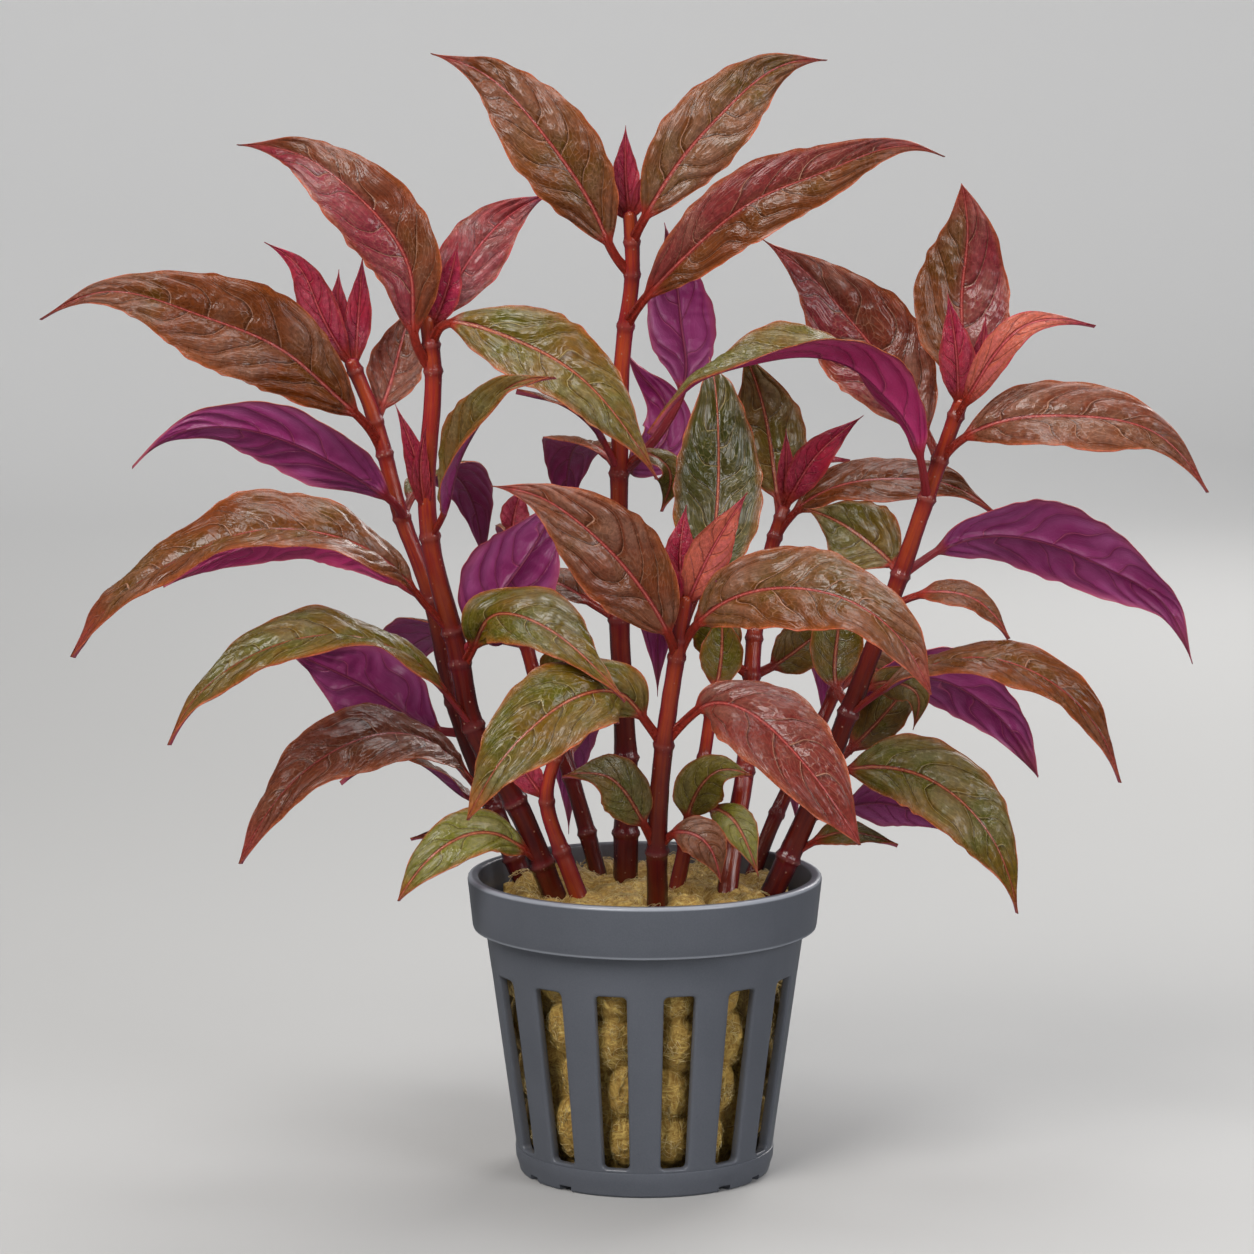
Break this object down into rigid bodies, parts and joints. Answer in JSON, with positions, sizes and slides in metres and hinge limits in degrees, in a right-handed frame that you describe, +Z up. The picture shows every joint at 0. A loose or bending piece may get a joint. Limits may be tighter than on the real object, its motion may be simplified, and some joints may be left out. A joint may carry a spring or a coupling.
{
  "type": "potted alternanthera reineckii aquarium plant",
  "caption": "Bushy red-leaved aquarium plant with jointed stems and long pointed leaves, rooted in fibrous wool inside a slotted round net pot.",
  "frame": {"origin": "middle of the pot's flat underside", "axes": "+Z up along the pot's axis, -Y towards the front of the plant, +X to the right seen from the front"},
  "size_m": [0.1818, 0.1075, 0.176],
  "materials": {
    "pot_plastic": "moulded slate grey polypropylene, satin, with fine mould texture",
    "wool": "matted yellow-tan mineral fibres in rounded lumps",
    "stem": "glossy red to maroon living stem with paler rings at the joints",
    "leaf_bronze": "glossy bronze-brown blade with pink veins and a red-purple underside",
    "leaf_olive": "glossy olive-green blade with pink midrib and salmon margin",
    "leaf_young": "young crimson and magenta blade with paler veins"
  },
  "bodies": {
    "root": {"net_pot": "pot_plastic", "mineral_wool": "wool", "stem_tall": "stem", "stem_inner_left": "stem", "stem_outer_left": "stem", "stem_front": "stem", "stem_outer_right": "stem", "stem_inner_right": "stem", "stem_short_left": "stem", "stem_back_left": "stem", "stem_short_front": "stem", "stem_back_right": "stem", "leaf_tall_1_right": "leaf_bronze", "leaf_tall_2_left": "leaf_bronze", "leaf_tall_3_right": "leaf_bronze", "leaf_tall_3_back": "leaf_bronze", "leaf_tall_4_back_right": "leaf_bronze", "leaf_tall_4_back_left": "leaf_bronze", "leaf_tall_5_back": "leaf_olive", "leaf_inner_left_1_right": "leaf_olive", "leaf_inner_left_1_up": "leaf_young", "leaf_inner_left_2_left": "leaf_bronze", "leaf_inner_left_3_right": "leaf_olive", "leaf_inner_left_4_left": "leaf_bronze", "leaf_inner_left_5_up": "leaf_young", "leaf_inner_left_5_right": "leaf_olive", "leaf_inner_left_6_left": "leaf_olive", "leaf_inner_left_8_left": "leaf_olive", "leaf_outer_left_2_back": "leaf_bronze", "leaf_outer_left_3_left": "leaf_bronze", "leaf_outer_left_4_left": "leaf_bronze", "leaf_outer_left_4_back": "leaf_olive", "leaf_outer_left_5_left": "leaf_bronze", "leaf_outer_left_6_left": "leaf_bronze", "leaf_outer_left_7_left": "leaf_bronze", "leaf_outer_left_7_back": "leaf_bronze", "leaf_front_1_back": "leaf_olive", "leaf_front_1_left": "leaf_bronze", "leaf_front_1_right": "leaf_bronze", "leaf_front_2_left": "leaf_olive", "leaf_front_2_right": "leaf_bronze", "leaf_outer_right_1_back": "leaf_bronze", "leaf_outer_right_1_right": "leaf_young", "leaf_outer_right_2_left": "leaf_bronze", "leaf_outer_right_2_right": "leaf_bronze", "leaf_outer_right_3_left": "leaf_olive", "leaf_outer_right_4_right": "leaf_young", "leaf_outer_right_4_left": "leaf_olive", "leaf_outer_right_5_right": "leaf_bronze", "leaf_outer_right_5_back": "leaf_young", "leaf_outer_right_6_right": "leaf_olive", "leaf_inner_right_1_left": "leaf_olive", "leaf_inner_right_2_right": "leaf_bronze", "leaf_inner_right_5_back": "leaf_olive", "leaf_back_left_1_back": "leaf_bronze", "leaf_back_left_2_left": "leaf_bronze", "leaf_back_left_3_back": "leaf_olive", "leaf_back_right_1_up": "leaf_bronze", "leaf_back_right_2_right": "leaf_bronze"}
  },
  "joints": []
}
